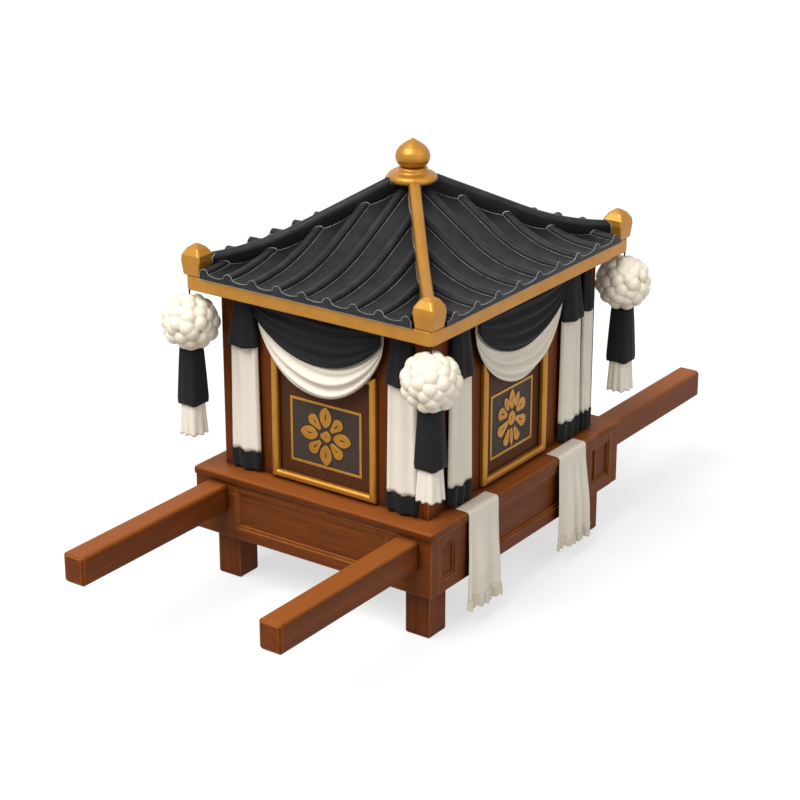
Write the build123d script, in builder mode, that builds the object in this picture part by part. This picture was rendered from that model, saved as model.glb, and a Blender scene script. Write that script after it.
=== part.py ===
from build123d import *
import math
import os

os.makedirs("parts", exist_ok=True)

# Funeral bier on two carrying poles. Millimetres, +X forward, +Y left, +Z up, the floor at Z = 0.

# Base
base_half_length = 545
base_half_width = 450
base_bottom = 165
base_height = 210
rail_thickness = 28
rail_overhang = 6
rail_round = 9
beam_thickness = 40
panel_foot = 38
panel_head = 18
panel_step = 9
panel_step_depth = 4
panel_depth = 9
panel_stile = 35
niche_width = 75
niche_stile = 12
niche_bar = 10
rear_niche_width = 115
niche_bar_shift = 24

# Poles and legs
pole_reach = 645
pole_inset = 90
pole_width = 80
pole_height = 95
pole_drop = 6
pole_round = 13
pole_end_round = 9
leg_size = 86
leg_inset = 100
leg_chamfer = 5

# Floor of the coffin well
bearer_width = 60
bearer_height = 30
board_thickness = 20
board_count = 5
board_gap = 2
floor_gap = 10

# Cabin
deck_margin_end = 79
deck_margin_side = 66
cabin_height = 585
post_size = 60
post_chamfer = 3
rail_ledge = 6
head_height = 40
wall_thickness = 24
wall_inset = 10
frame_clear_end = 40
frame_clear_side = 69
frame_width = 24
frame_thickness = 18
frame_bevel = 6
frame_foot = 5
frame_height = 400
panel_lap = 5
panel_thickness = 18
panel_back = 4
mat_width = 38
line_height = 210
line_width = 8
line_thickness = 2
flower_thickness = 3
flower_share = 0.9

# Roof
eave_margin_end = 86
eave_margin_side = 68
fascia_height = 46
fascia_thickness = 22
fascia_round = 22
soffit_recess = 6
soffit_thickness = 16
lip_width = 24
lip_height = 20
lip_gap = 6
tile_overhang = 8
tile_thickness = 20
roof_rise = 226
roof_bend_at = 0.285
roof_bend_length = 0.265
rib_count = 9
rib_half_width = 17
rib_height = 15
pan_sag = 5
hip_width = 36
hip_side = 22
hub_radius = 45
hub_depth = 90
cap_size = 74
cap_height = 96

# Finial
flange_radius = 75
flange_sink = 8
flange_height = 47
jewel_radius = 54
jewel_height = 88

# Hangings
swag_top_gap = 15
swag_end_drop = 45
black_drop = 160
white_drop = 260
swag_step = 10
white_layer = 12
black_layer = 22
tail_width_end = 115
tail_width_side = 125
tail_margin_end = 34
tail_margin_side = 92
corner_tail_margin = 26
tail_gap = 2
bell_neck_share = 0.62
bell_height = 153
bell_depth = 38
tail_depth = 22
hem_height = 58
tail_foot = 7
side_cloth_width = 200
side_cloth_thickness = 4
side_cloth_gap = 18
side_cloth_place_front = 0.5
side_cloth_place_rear = 0.44
side_cloth_foot = 45

# Corner pendants
pendant_inset = 10
pendant_gap = 4
pendant_loop_radius = 3.5
ball_radius = 88
ball_drop = 100
ball_sides = 12
sleeve_top_width = 66
sleeve_bottom_width = 84
sleeve_length = 173
skirt_top_width = 66
skirt_bottom_width = 78
skirt_length = 102

# Derived places
deck_top = base_bottom + base_height
rail_bottom = deck_top - rail_thickness
beam_half_length = base_half_length - rail_overhang
beam_half_width = base_half_width - rail_overhang
beam_inner_x = beam_half_length - beam_thickness
beam_inner_y = beam_half_width - beam_thickness
pole_half_length = base_half_length + pole_reach
pole_centre_y = base_half_width - pole_inset
pole_bottom = rail_bottom - pole_drop - pole_height
leg_centre_x = base_half_length - leg_inset
leg_centre_y = beam_inner_y - leg_size / 2
floor_half_width = pole_centre_y - pole_width / 2 - floor_gap
cabin_half_length = base_half_length - deck_margin_end
cabin_half_width = base_half_width - deck_margin_side
post_inner_x = cabin_half_length - post_size
post_inner_y = cabin_half_width - post_size
head_top = deck_top + cabin_height
post_top = head_top - head_height
eave_half_length = cabin_half_length + eave_margin_end
eave_half_width = cabin_half_width + eave_margin_side
eave_bottom = head_top - soffit_recess
fascia_top = eave_bottom + fascia_height
tile_top = fascia_top + tile_thickness
roof_half_length = eave_half_length + tile_overhang
roof_half_width = eave_half_width + tile_overhang
roof_run = math.hypot(roof_half_length, roof_half_width)
flange_bottom = tile_top + roof_rise - flange_sink
neck_z = flange_bottom + flange_height
finial_top = neck_z + jewel_height
swag_top = head_top - swag_top_gap
swag_half_end = cabin_half_width - tail_margin_end - tail_width_end - tail_gap
swag_half_side = cabin_half_length - tail_margin_side - tail_width_side - tail_gap
frame_half_end = swag_half_end + tail_gap - frame_clear_end
frame_half_side = swag_half_side + tail_gap - frame_clear_side
corner_tail_width = tail_margin_side - corner_tail_margin - 2 * tail_gap
corner_tail_x = cabin_half_length - corner_tail_margin - corner_tail_width / 2
bell_bottom = swag_top - bell_height
tail_bottom = deck_top + tail_foot
hem_top = tail_bottom + hem_height
pendant_x = eave_half_length - pendant_inset
pendant_y = eave_half_width - pendant_inset
pendant_pivot = eave_bottom - pendant_gap
ball_z = pendant_pivot - ball_drop
corners = {"front_left": (1, 1), "front_right": (1, -1), "rear_left": (-1, 1), "rear_right": (-1, -1)}
ends = {"front": 1, "rear": -1}
sides = {"left": 1, "right": -1}


def save(builder, label):
    """Label a finished sub-part and write its STEP file."""
    builder.part.label = label
    export_step(builder.part, f"parts/{label}.step")


def face_plane(direction, distance, across="x"):
    """Upright plane on a face of the bier: local X runs along the face, local Y up, Z outward."""
    if across == "x":
        return Plane((direction * distance, 0, 0), x_dir=(0, direction, 0), z_dir=(direction, 0, 0))
    return Plane((0, direction * distance, 0), x_dir=(-direction, 0, 0), z_dir=(0, direction, 0))


def moved(plane, right=0, up=0, out=0):
    """The same plane with its origin moved along its own axes."""
    shift = plane.x_dir * right + plane.y_dir * up + plane.z_dir * out
    return Plane(plane.origin + shift, x_dir=plane.x_dir, z_dir=plane.z_dir)


panel_low = base_bottom + panel_foot
panel_high = rail_bottom - panel_head
panel_mid = (panel_low + panel_high) / 2
panel_tall = panel_high - panel_low

# Carrying poles, one long square timber through both end beams on each side
for name, sign in sides.items():
    with BuildPart() as pole:
        with BuildSketch(Plane((-pole_half_length, sign * pole_centre_y, pole_bottom + pole_height / 2),
                               x_dir=(0, 1, 0), z_dir=(1, 0, 0))):
            RectangleRounded(pole_width, pole_height, pole_round)
        extrude(amount=2 * pole_half_length)
        for face in (pole.faces().sort_by(Axis.X)[0], pole.faces().sort_by(Axis.X)[-1]):
            chamfer(face.edges(), pole_end_round)
    save(pole, f"pole_{name}")

end_panel_half_width = pole_centre_y - pole_width / 2 - panel_stile

# End beams with a stepped recessed panel and a hole for each pole
for name, sign in ends.items():
    outer = face_plane(sign, beam_half_length)
    with BuildPart() as end_beam:
        with BuildSketch(moved(outer, up=(base_bottom + rail_bottom) / 2, out=-beam_thickness)):
            Rectangle(2 * beam_half_width, rail_bottom - base_bottom)
        extrude(amount=beam_thickness)
        with BuildSketch(moved(outer, up=panel_mid)):
            Rectangle(2 * end_panel_half_width, panel_tall)
        extrude(amount=-panel_step_depth, mode=Mode.SUBTRACT)
        with BuildSketch(moved(outer, up=panel_mid)):
            Rectangle(2 * (end_panel_half_width - panel_step), panel_tall - 2 * panel_step)
        extrude(amount=-panel_depth, mode=Mode.SUBTRACT)
        for side in sides.values():
            with BuildSketch(moved(outer, right=side * pole_centre_y, up=pole_bottom + pole_height / 2)):
                RectangleRounded(pole_width, pole_height, pole_round)
            extrude(amount=-beam_thickness, mode=Mode.SUBTRACT)
    save(end_beam, f"end_beam_{name}")

# Side beams with a long panel between an arched niche in front and a square one behind
niche_x = beam_inner_x - niche_stile - niche_width / 2
rear_niche_x = beam_inner_x - niche_stile - rear_niche_width / 2
side_panel_half_length = rear_niche_x - rear_niche_width / 2 - panel_stile
for name, sign in sides.items():
    outer = face_plane(sign, beam_half_width, "y")
    with BuildPart() as side_beam:
        with BuildSketch(moved(outer, up=(base_bottom + rail_bottom) / 2, out=-beam_thickness)):
            Rectangle(2 * beam_inner_x, rail_bottom - base_bottom)
        extrude(amount=beam_thickness)
        for inset, depth in ((0, panel_step_depth), (panel_step, panel_depth)):
            niche = niche_width - 2 * inset
            straight = panel_tall - inset - niche_width / 2
            with BuildSketch(moved(outer, up=panel_mid)):
                Rectangle(2 * (side_panel_half_length - inset), panel_tall - 2 * inset)
            extrude(amount=-depth, mode=Mode.SUBTRACT)
            with BuildSketch(moved(outer, right=sign * rear_niche_x, up=panel_mid)):
                Rectangle(rear_niche_width - 2 * inset, panel_tall - 2 * inset)
            extrude(amount=-depth, mode=Mode.SUBTRACT)
            with BuildSketch(moved(outer, right=-sign * niche_x, up=panel_low + inset)):
                with BuildLine():
                    Polyline((-niche / 2, straight), (-niche / 2, 0), (niche / 2, 0), (niche / 2, straight))
                    ThreePointArc((niche / 2, straight), (0, straight + niche / 2), (-niche / 2, straight))
                make_face()
            extrude(amount=-depth, mode=Mode.SUBTRACT)
        bar_x = sign * (rear_niche_x - niche_bar_shift)
        with BuildSketch(moved(outer, right=bar_x, up=panel_mid, out=-panel_depth)):
            Rectangle(niche_bar, panel_tall - 2 * panel_step)
        extrude(amount=panel_depth - panel_step_depth)
    save(side_beam, f"side_beam_{name}")

end_rail_width = base_half_length - post_inner_x + rail_ledge
side_rail_width = base_half_width - post_inner_y + rail_ledge
# Deck rails, butt jointed, with a rounded outer edge
with BuildPart() as end_rails:
    for sign in ends.values():
        with BuildSketch(Plane((sign * (base_half_length - end_rail_width / 2), 0, rail_bottom))):
            Rectangle(end_rail_width, 2 * base_half_width)
        extrude(amount=rail_thickness)
    outer_edges = end_rails.edges().filter_by(Axis.Y).group_by(Axis.X)
    fillet(outer_edges[0] + outer_edges[-1], rail_round)
    fillet(end_rails.edges().filter_by(Axis.X).group_by(Axis.Y)[0], rail_round)
    fillet(end_rails.edges().filter_by(Axis.X).group_by(Axis.Y)[-1], rail_round)
save(end_rails, "end_deck_rails")

with BuildPart() as side_rails:
    for sign in sides.values():
        with BuildSketch(Plane((0, sign * (base_half_width - side_rail_width / 2), rail_bottom))):
            Rectangle(2 * (base_half_length - end_rail_width), side_rail_width)
        extrude(amount=rail_thickness)
    outer_edges = side_rails.edges().filter_by(Axis.X).group_by(Axis.Y)
    fillet(outer_edges[0] + outer_edges[-1], rail_round)
save(side_rails, "side_deck_rails")

# Legs stand under the poles, against the side beams
for name, (sx, sy) in corners.items():
    with BuildPart() as leg:
        with BuildSketch(Plane((sx * leg_centre_x, sy * leg_centre_y, 0))):
            Rectangle(leg_size, leg_size)
        extrude(amount=pole_bottom)
        chamfer(leg.faces().sort_by(Axis.Z)[0].edges(), leg_chamfer)
    save(leg, f"leg_{name}")

# Floor of the coffin well: bearers between the side beams and boards on them
with BuildPart() as bearers:
    for i in (-1, 0, 1):
        with BuildSketch(Plane((i * beam_inner_x / 2, 0, base_bottom))):
            Rectangle(bearer_width, 2 * beam_inner_y)
        extrude(amount=bearer_height)
save(bearers, "floor_bearers")

board_pitch = 2 * floor_half_width / board_count
with BuildPart() as boards:
    for i in range(board_count):
        board_y = (i - (board_count - 1) / 2) * board_pitch
        with BuildSketch(Plane((0, board_y, base_bottom + bearer_height))):
            Rectangle(2 * beam_inner_x, board_pitch - board_gap)
        extrude(amount=board_thickness)
save(boards, "floor_boards")

# Corner posts
for name, (sx, sy) in corners.items():
    with BuildPart() as post:
        with BuildSketch(Plane((sx * (cabin_half_length - post_size / 2),
                                sy * (cabin_half_width - post_size / 2), deck_top))):
            Rectangle(post_size, post_size)
        extrude(amount=post_top - deck_top)
        chamfer(post.edges().filter_by(Axis.Z), post_chamfer)
    save(post, f"post_{name}")

# Head rails on the posts
with BuildPart() as end_heads:
    for sign in ends.values():
        with BuildSketch(Plane((sign * (cabin_half_length - post_size / 2), 0, post_top))):
            Rectangle(post_size, 2 * cabin_half_width)
        extrude(amount=head_height)
save(end_heads, "end_head_rails")

with BuildPart() as side_heads:
    for sign in sides.values():
        with BuildSketch(Plane((0, sign * (cabin_half_width - post_size / 2), post_top))):
            Rectangle(2 * post_inner_x, post_size)
        extrude(amount=head_height)
save(side_heads, "side_head_rails")

# Walls, each with an opening for its lacquer panel
frame_low = deck_top + frame_foot
frame_mid = frame_low + frame_height / 2
line_mid = frame_low + frame_width + mat_width + line_height / 2
faces = {
    "front": (1, "x", cabin_half_length, post_inner_y, frame_half_end),
    "rear": (-1, "x", cabin_half_length, post_inner_y, frame_half_end),
    "left": (1, "y", cabin_half_width, post_inner_x, frame_half_side),
    "right": (-1, "y", cabin_half_width, post_inner_x, frame_half_side),
}
for name, (sign, across, distance, half, frame_half) in faces.items():
    outer = face_plane(sign, distance - wall_inset, across)
    opening = frame_half - frame_width + panel_lap
    with BuildPart() as wall:
        with BuildSketch(moved(outer, up=(deck_top + post_top) / 2, out=-wall_thickness)):
            Rectangle(2 * half, post_top - deck_top)
        extrude(amount=wall_thickness)
        with BuildSketch(moved(outer, up=frame_mid)):
            Rectangle(2 * opening, frame_height - 2 * frame_width + 2 * panel_lap)
        extrude(amount=-wall_thickness, mode=Mode.SUBTRACT)
    save(wall, f"wall_{name}")


def petal(plane, angle, length, width, pointed):
    """Petal outline that starts at the plane's origin and points along an angle, with a vein cut out."""
    turn = math.radians(angle)
    along = plane.x_dir * math.cos(turn) + plane.y_dir * math.sin(turn)
    with BuildSketch(Plane(plane.origin, x_dir=along, z_dir=plane.z_dir)) as outline:
        with BuildLine():
            if pointed:
                ThreePointArc((0, 0), (length / 2, width / 2), (length, 0))
                ThreePointArc((length, 0), (length / 2, -width / 2), (0, 0))
            else:
                round_x = length - width / 2
                side_y = width / 2
                Polyline((round_x, side_y), (0, width * 0.15), (0, -width * 0.15), (round_x, -side_y))
                ThreePointArc((round_x, -side_y), (length, 0), (round_x, side_y))
        make_face()
        with BuildLine():
            ThreePointArc((length * 0.3, 0), (length / 2, width * 0.06), (length * 0.7, 0))
            ThreePointArc((length * 0.7, 0), (length / 2, -width * 0.06), (length * 0.3, 0))
        make_face(mode=Mode.SUBTRACT)
    return outline.sketch


# Flower inlay in shares of its reach: start x, start y, angle, length, width, pointed or round
daisy = [(0.3 * math.cos(math.radians(a)), 0.3 * math.sin(math.radians(a)), a, 0.7, 0.46, True)
         for a in (0, 90, 180, 270)]
daisy += [(0.3 * math.cos(math.radians(a)), 0.3 * math.sin(math.radians(a)), a, 0.58, 0.4, False)
          for a in (45, 135, 225, 315)]
daisy += [(-0.2, 0, 0, 0.4, 0.38, False)]
iris = [
    (0, 0.28, 90, 0.72, 0.34, True),
    (-0.2, 0.3, 112, 0.55, 0.26, True),
    (0.2, 0.3, 68, 0.55, 0.26, True),
    (-0.28, 0.16, 155, 0.56, 0.44, False),
    (0.28, 0.16, 25, 0.56, 0.44, False),
    (0, 0.24, 270, 0.5, 0.42, True),
    (-0.22, -0.08, 206, 0.66, 0.42, False),
    (0.22, -0.08, 334, 0.66, 0.42, False),
    (-0.16, -0.36, 246, 0.56, 0.32, False),
    (0.16, -0.36, 294, 0.56, 0.32, False),
    (0, -0.32, 270, 0.68, 0.2, True),
]
flowers = {"end": daisy, "side": iris}

# Gold frames, lacquer panels and their inlay, alike on opposite faces
pairs = {"end": ("front", "rear"), "side": ("left", "right")}
for pair, names in pairs.items():
    with BuildPart() as frames:
        for name in names:
            sign, across, distance, half, frame_half = faces[name]
            outer = face_plane(sign, distance - wall_inset, across)
            with BuildSketch(moved(outer, up=frame_mid)):
                Rectangle(2 * frame_half, frame_height)
                Rectangle(2 * (frame_half - frame_width), frame_height - 2 * frame_width, mode=Mode.SUBTRACT)
            extrude(amount=frame_thickness)
            chamfer(frames.faces().sort_by(Axis(outer.origin, outer.z_dir))[-1].edges(), frame_bevel)
    save(frames, f"{pair}_frames")

    with BuildPart() as panels:
        for name in names:
            sign, across, distance, half, frame_half = faces[name]
            back = face_plane(sign, distance - wall_inset - panel_back - panel_thickness, across)
            opening = frame_half - frame_width + panel_lap
            with BuildSketch(moved(back, up=frame_mid)):
                Rectangle(2 * opening, frame_height - 2 * frame_width + 2 * panel_lap)
            extrude(amount=panel_thickness)
    save(panels, f"{pair}_panels")

    with BuildPart() as inlay:
        for name in names:
            sign, across, distance, half, frame_half = faces[name]
            front = moved(face_plane(sign, distance - wall_inset - panel_back, across), up=line_mid)
            line_half = frame_half - frame_width - mat_width
            with BuildSketch(front):
                Rectangle(2 * line_half, line_height)
                Rectangle(2 * (line_half - line_width), line_height - 2 * line_width, mode=Mode.SUBTRACT)
            extrude(amount=line_thickness)
            reach = min(line_half, line_height / 2) * flower_share
            for x, y, angle, length, width, pointed in flowers[pair]:
                leaf = petal(moved(front, right=x * reach, up=y * reach), angle, length * reach,
                             width * reach, pointed)
                extrude(to_extrude=leaf, amount=flower_thickness)
    save(inlay, f"{pair}_inlay")

# Roof body: soffit board with a locating lip, fascia, tiled slopes, hips, caps and finial
with BuildPart() as soffit:
    with BuildSketch(Plane((0, 0, head_top))):
        Rectangle(2 * (eave_half_length - fascia_thickness), 2 * (eave_half_width - fascia_thickness))
    extrude(amount=soffit_thickness)
    with BuildSketch(Plane((0, 0, head_top - lip_height))):
        lip_x = post_inner_x - lip_gap
        lip_y = post_inner_y - lip_gap
        Rectangle(2 * lip_x, 2 * lip_y)
        Rectangle(2 * (lip_x - lip_width), 2 * (lip_y - lip_width), mode=Mode.SUBTRACT)
    extrude(amount=lip_height)
save(soffit, "soffit")

with BuildPart() as fascia:
    with BuildSketch(Plane((0, 0, eave_bottom))):
        RectangleRounded(2 * eave_half_length, 2 * eave_half_width, fascia_round)
        Rectangle(2 * (eave_half_length - fascia_thickness), 2 * (eave_half_width - fascia_thickness),
                  mode=Mode.SUBTRACT)
    extrude(amount=fascia_height)
save(fascia, "fascia")


def tile_section(plane, half):
    """Cut through a slope's tiles, round ribs between sagging pans, on a plane square to the roof line."""
    pitch = 2 * half / (rib_count + 1)
    with BuildSketch(plane) as section:
        with BuildLine():
            last = (-half, 0)
            for i in range(rib_count):
                middle = (i - (rib_count - 1) / 2) * pitch
                start = (middle - rib_half_width, 0)
                end = (middle + rib_half_width, 0)
                ThreePointArc(last, ((last[0] + start[0]) / 2, -pan_sag), start)
                ThreePointArc(start, (middle, rib_height), end)
                last = end
            ThreePointArc(last, ((last[0] + half) / 2, -pan_sag), (half, 0))
            Polyline((half, 0), (half, -tile_thickness), (-half, -tile_thickness), (-half, 0))
        make_face()
    return section.sketch


def hip_section(plane, width):
    """Cut through a hip roll: upright sides and a round top."""
    with BuildSketch(plane) as section:
        with BuildLine():
            w = width / 2
            Polyline((-w, hip_side), (-w, -tile_thickness), (w, -tile_thickness), (w, hip_side))
            ThreePointArc((w, hip_side), (0, hip_side + w), (-w, hip_side))
        make_face()
    return section.sketch


def roof_line(run, x, y):
    """Stages of a roof line over a level run from an eave point: level, a bend, then straight."""
    inward = Vector(-x, -y, 0).normalized()
    level = Plane((x, y, tile_top), x_dir=Vector(0, 0, 1).cross(inward), z_dir=inward)
    tilt = math.atan2(roof_rise, run * (1 - roof_bend_at))
    bend = roof_bend_length * run
    radius = bend / math.tan(tilt / 2)
    level_length = run * roof_bend_at - bend
    turn = moved(level, out=level_length)
    axis = Axis(moved(turn, up=radius).origin, turn.x_dir * -1)
    end = moved(turn, up=radius * (1 - math.cos(tilt)), out=radius * math.sin(tilt))
    rising = end.z_dir * math.cos(tilt) + end.y_dir * math.sin(tilt)
    straight = Plane(end.origin, x_dir=end.x_dir, z_dir=rising)
    straight_length = math.hypot(run * (1 - roof_bend_at), roof_rise) - bend
    return (level, level_length), (turn, axis, math.degrees(tilt)), (straight, straight_length)


cap_x = roof_half_length - cap_size
cap_y = roof_half_width - cap_size
hip_offset = hip_width / 2 * roof_run
slopes = {
    "front": (1, 0, roof_half_length, roof_half_width, cap_y),
    "rear": (-1, 0, roof_half_length, roof_half_width, cap_y),
    "left": (0, 1, roof_half_width, roof_half_length, cap_x),
    "right": (0, -1, roof_half_width, roof_half_length, cap_x),
}
for name, (dx, dy, run, half, cap_line) in slopes.items():
    level, bend, straight = roof_line(run, dx * run, dy * run)
    with BuildPart() as slope:
        extrude(to_extrude=tile_section(level[0], half), amount=level[1])
        revolve(profiles=tile_section(bend[0], half), axis=bend[1], revolution_arc=bend[2])
        extrude(to_extrude=tile_section(straight[0], half), amount=straight[1])
        with BuildSketch(Plane((0, 0, fascia_top - tile_thickness), x_dir=level[0].x_dir, z_dir=(0, 0, 1))):
            with BuildLine():
                tip = hip_offset / half
                shoulder = (cap_line * run + hip_offset) / half
                depth = run + tile_overhang
                Polyline((0, tip), (cap_line, shoulder), (cap_line, depth),
                         (-cap_line, depth), (-cap_line, shoulder), (0, tip))
            make_face()
        extrude(amount=2 * roof_rise, mode=Mode.INTERSECT)
        with BuildSketch(Plane.XY):
            Circle(hub_radius)
        extrude(amount=2 * finial_top, mode=Mode.SUBTRACT)
    save(slope, f"roof_{name}")

# Hip rolls from the caps to the hub, one diagonal gilded and the other black
hip_pairs = {"gold_hips": ("front_left", "rear_right"), "black_hips": ("front_right", "rear_left")}
for label, chosen in hip_pairs.items():
    with BuildPart() as hips:
        for name in chosen:
            sx, sy = corners[name]
            level, bend, straight = roof_line(roof_run, sx * roof_half_length, sy * roof_half_width)
            extrude(to_extrude=hip_section(level[0], hip_width), amount=level[1])
            revolve(profiles=hip_section(bend[0], hip_width), axis=bend[1], revolution_arc=bend[2])
            extrude(to_extrude=hip_section(straight[0], hip_width), amount=straight[1])
        for sx, sy in corners.values():
            with BuildSketch(Plane((sx * roof_half_length, sy * roof_half_width, 0))):
                Rectangle(2 * cap_size, 2 * cap_size)
            extrude(amount=finial_top, mode=Mode.SUBTRACT)
        with BuildSketch(Plane.XY):
            Circle(hub_radius)
        extrude(amount=2 * finial_top, mode=Mode.SUBTRACT)
        with BuildSketch(Plane((0, 0, flange_bottom))):
            Circle(flange_radius)
        extrude(amount=finial_top, mode=Mode.SUBTRACT)
    save(hips, label)

# Bud caps on the four eave corners, square blocks that swell and close to a point
cap_levels = ((0, 0.86), (0.5, 1.0), (0.68, 0.94), (0.88, 0.62), (1.0, 0.2))
with BuildPart() as caps:
    for sx, sy in corners.values():
        centre_x = sx * (roof_half_length - cap_size / 2)
        centre_y = sy * (roof_half_width - cap_size / 2)
        for (low, low_share), (high, high_share) in zip(cap_levels, cap_levels[1:]):
            tall = (high - low) * cap_height
            narrowing = (low_share - high_share) * cap_size / 2
            with BuildSketch(Plane((centre_x, centre_y, fascia_top + low * cap_height))):
                Rectangle(low_share * cap_size, low_share * cap_size)
            extrude(amount=tall, taper=math.degrees(math.atan2(narrowing, tall)))
save(caps, "corner_caps")

# Finial: a flange on a hub that plugs the ridge, and the jewel on it
flange_profile = ((0, 1), (0.5, 1), (0.6, 0.93), (0.62, 0.7), (0.7, 0.61), (0.88, 0.54), (0.98, 0.4),
                  (1, 0.24), (0.98, 0.08), (0.9, 0))
with BuildPart() as finial_base:
    with BuildSketch(Plane.XZ):
        with BuildLine():
            Polyline(*[(r * flange_radius, flange_bottom + h * flange_height) for r, h in flange_profile],
                     (hub_radius, flange_bottom), (hub_radius, flange_bottom - hub_depth),
                     (0, flange_bottom - hub_depth), close=True)
        make_face()
    revolve(axis=Axis.Z)
save(finial_base, "finial_base")

jewel_profile = ((0, 0), (0.62, 0), (0.86, 0.1), (0.98, 0.24), (1, 0.38), (0.93, 0.54),
                 (0.74, 0.7), (0.46, 0.83), (0.18, 0.93), (0, 1))
with BuildPart() as jewel:
    with BuildSketch(Plane.XZ):
        with BuildLine():
            Polyline(*[(r * jewel_radius, neck_z + h * jewel_height) for r, h in jewel_profile], close=True)
        make_face()
    revolve(axis=Axis.Z)
save(jewel, "finial_jewel")

# Swags: a white one on the wall side and a shorter black one over it
swag_faces = {
    "front": (1, "x", cabin_half_length, swag_half_end, tail_width_end),
    "rear": (-1, "x", cabin_half_length, swag_half_end, tail_width_end),
    "left": (1, "y", cabin_half_width, swag_half_side, tail_width_side),
    "right": (-1, "y", cabin_half_width, swag_half_side, tail_width_side),
}
swag_table = (
    ("white_swags", swag_step, white_layer, white_drop),
    ("black_swags", swag_step + white_layer, black_layer, black_drop),
)
for label, start, layer, drop in swag_table:
    with BuildPart() as swags:
        for sign, across, distance, half, tail_width in swag_faces.values():
            outer = moved(face_plane(sign, distance, across), up=swag_top)
            with BuildSketch(moved(outer, out=start)):
                with BuildLine():
                    Polyline((-half, -swag_end_drop), (-half, 0), (half, 0), (half, -swag_end_drop))
                    ThreePointArc((half, -swag_end_drop), (0, -drop), (-half, -swag_end_drop))
                make_face()
            extrude(amount=layer)
            if start == swag_step:
                with BuildSketch(moved(outer, up=-swag_end_drop / 4)):
                    Rectangle(2 * half, swag_end_drop / 2)
                extrude(amount=start)
    save(swags, label)

# Tails at both ends of each face and on the rear posts: a black bell, a white panel and a black hem
tail_table = (("tail_bells", bell_bottom, swag_top, bell_depth),
              ("tail_panels", hem_top, bell_bottom, tail_depth),
              ("tail_hems", tail_bottom, hem_top, tail_depth))
for label, low, high, depth in tail_table:
    with BuildPart() as tails:
        for sign, across, distance, half, tail_width in swag_faces.values():
            places = [(end * (half + tail_gap + tail_width / 2), tail_width, depth) for end in (-1, 1)]
            if across == "y":
                places.append((sign * corner_tail_x, corner_tail_width, tail_depth))
            for place, width, deep in places:
                with BuildSketch(moved(face_plane(sign, distance, across), right=place)):
                    with BuildLine():
                        top = width / 2 * (bell_neck_share if label == "tail_bells" else 0.9)
                        foot = width / 2 * (1 if label != "tail_panels" else 0.96)
                        Polyline((-foot, low), (foot, low), (top, high), (-top, high), (-foot, low))
                    make_face()
                extrude(amount=deep)
    save(tails, label)

# White cloths over the long sides of the deck
with BuildPart() as cloths:
    for sign in sides.values():
        for place in (side_cloth_place_front, -side_cloth_place_rear):
            with BuildSketch(Plane((place * base_half_length - side_cloth_width / 2, 0, 0),
                                   x_dir=(0, sign, 0), z_dir=(1, 0, 0))):
                with BuildLine():
                    start = cabin_half_width + side_cloth_gap
                    low = sign * side_cloth_foot
                    top = sign * deck_top
                    over = sign * (deck_top + side_cloth_thickness)
                    edge = base_half_width + side_cloth_thickness
                    Polyline((start, top), (base_half_width, top), (base_half_width, low), (edge, low),
                             (edge, over), (start, over), (start, top))
                make_face()
            extrude(amount=side_cloth_width)
save(cloths, "side_cloths")

# Corner pendants: flower ball on a loop, sleeve and pleated skirt
ball_latitudes = (0, 18, 50, 80)
ball_flat = math.cos(math.pi / ball_sides)
sleeve_top = ball_z - ball_radius * math.sin(math.radians(ball_latitudes[-1]))
sleeve_bottom = sleeve_top - sleeve_length
skirt_bottom = sleeve_bottom - skirt_length
for name, (sx, sy) in corners.items():
    x = sx * pendant_x
    y = sy * pendant_y
    with BuildPart() as ball:
        for half in (-1, 1):
            for low, high in zip(ball_latitudes, ball_latitudes[1:]):
                low_turn = math.radians(max(low, ball_latitudes[1]))
                high_turn = math.radians(high)
                start = math.sin(math.radians(low))
                tall = ball_radius * (math.sin(high_turn) - start)
                narrowing = ball_radius * ball_flat * (math.cos(low_turn) - math.cos(high_turn))
                with BuildSketch(Plane((x, y, ball_z + half * ball_radius * start), x_dir=(1, 0, 0),
                                       z_dir=(0, 0, half))):
                    RegularPolygon(ball_radius * math.cos(low_turn), ball_sides)
                extrude(amount=tall, taper=math.degrees(math.atan2(narrowing, tall)))
        with BuildSketch(Plane((x, y, ball_z))):
            Circle(pendant_loop_radius)
        extrude(amount=ball_drop)
        with BuildSketch(Plane((x, y, pendant_pivot), x_dir=(1, 0, 0), z_dir=(0, -1, 0))):
            with BuildLine():
                Line((0, -pendant_loop_radius), (0, pendant_loop_radius))
                ThreePointArc((0, pendant_loop_radius), (pendant_loop_radius, 0), (0, -pendant_loop_radius))
            make_face()
        revolve(axis=Axis((x, y, pendant_pivot), (0, 0, 1)))
    save(ball, f"flower_ball_{name}")

    with BuildPart() as sleeve:
        with BuildSketch(Plane((x, y, sleeve_bottom))):
            Rectangle(sleeve_bottom_width, sleeve_bottom_width)
        extrude(amount=sleeve_length,
                taper=math.degrees(math.atan2((sleeve_bottom_width - sleeve_top_width) / 2, sleeve_length)))
    save(sleeve, f"tassel_sleeve_{name}")

    with BuildPart() as skirt:
        with BuildSketch(Plane((x, y, skirt_bottom))):
            Rectangle(skirt_bottom_width, skirt_bottom_width)
        extrude(amount=skirt_length,
                taper=math.degrees(math.atan2((skirt_bottom_width - skirt_top_width) / 2, skirt_length)))
    save(skirt, f"tassel_skirt_{name}")
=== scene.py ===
import math
import random

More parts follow.
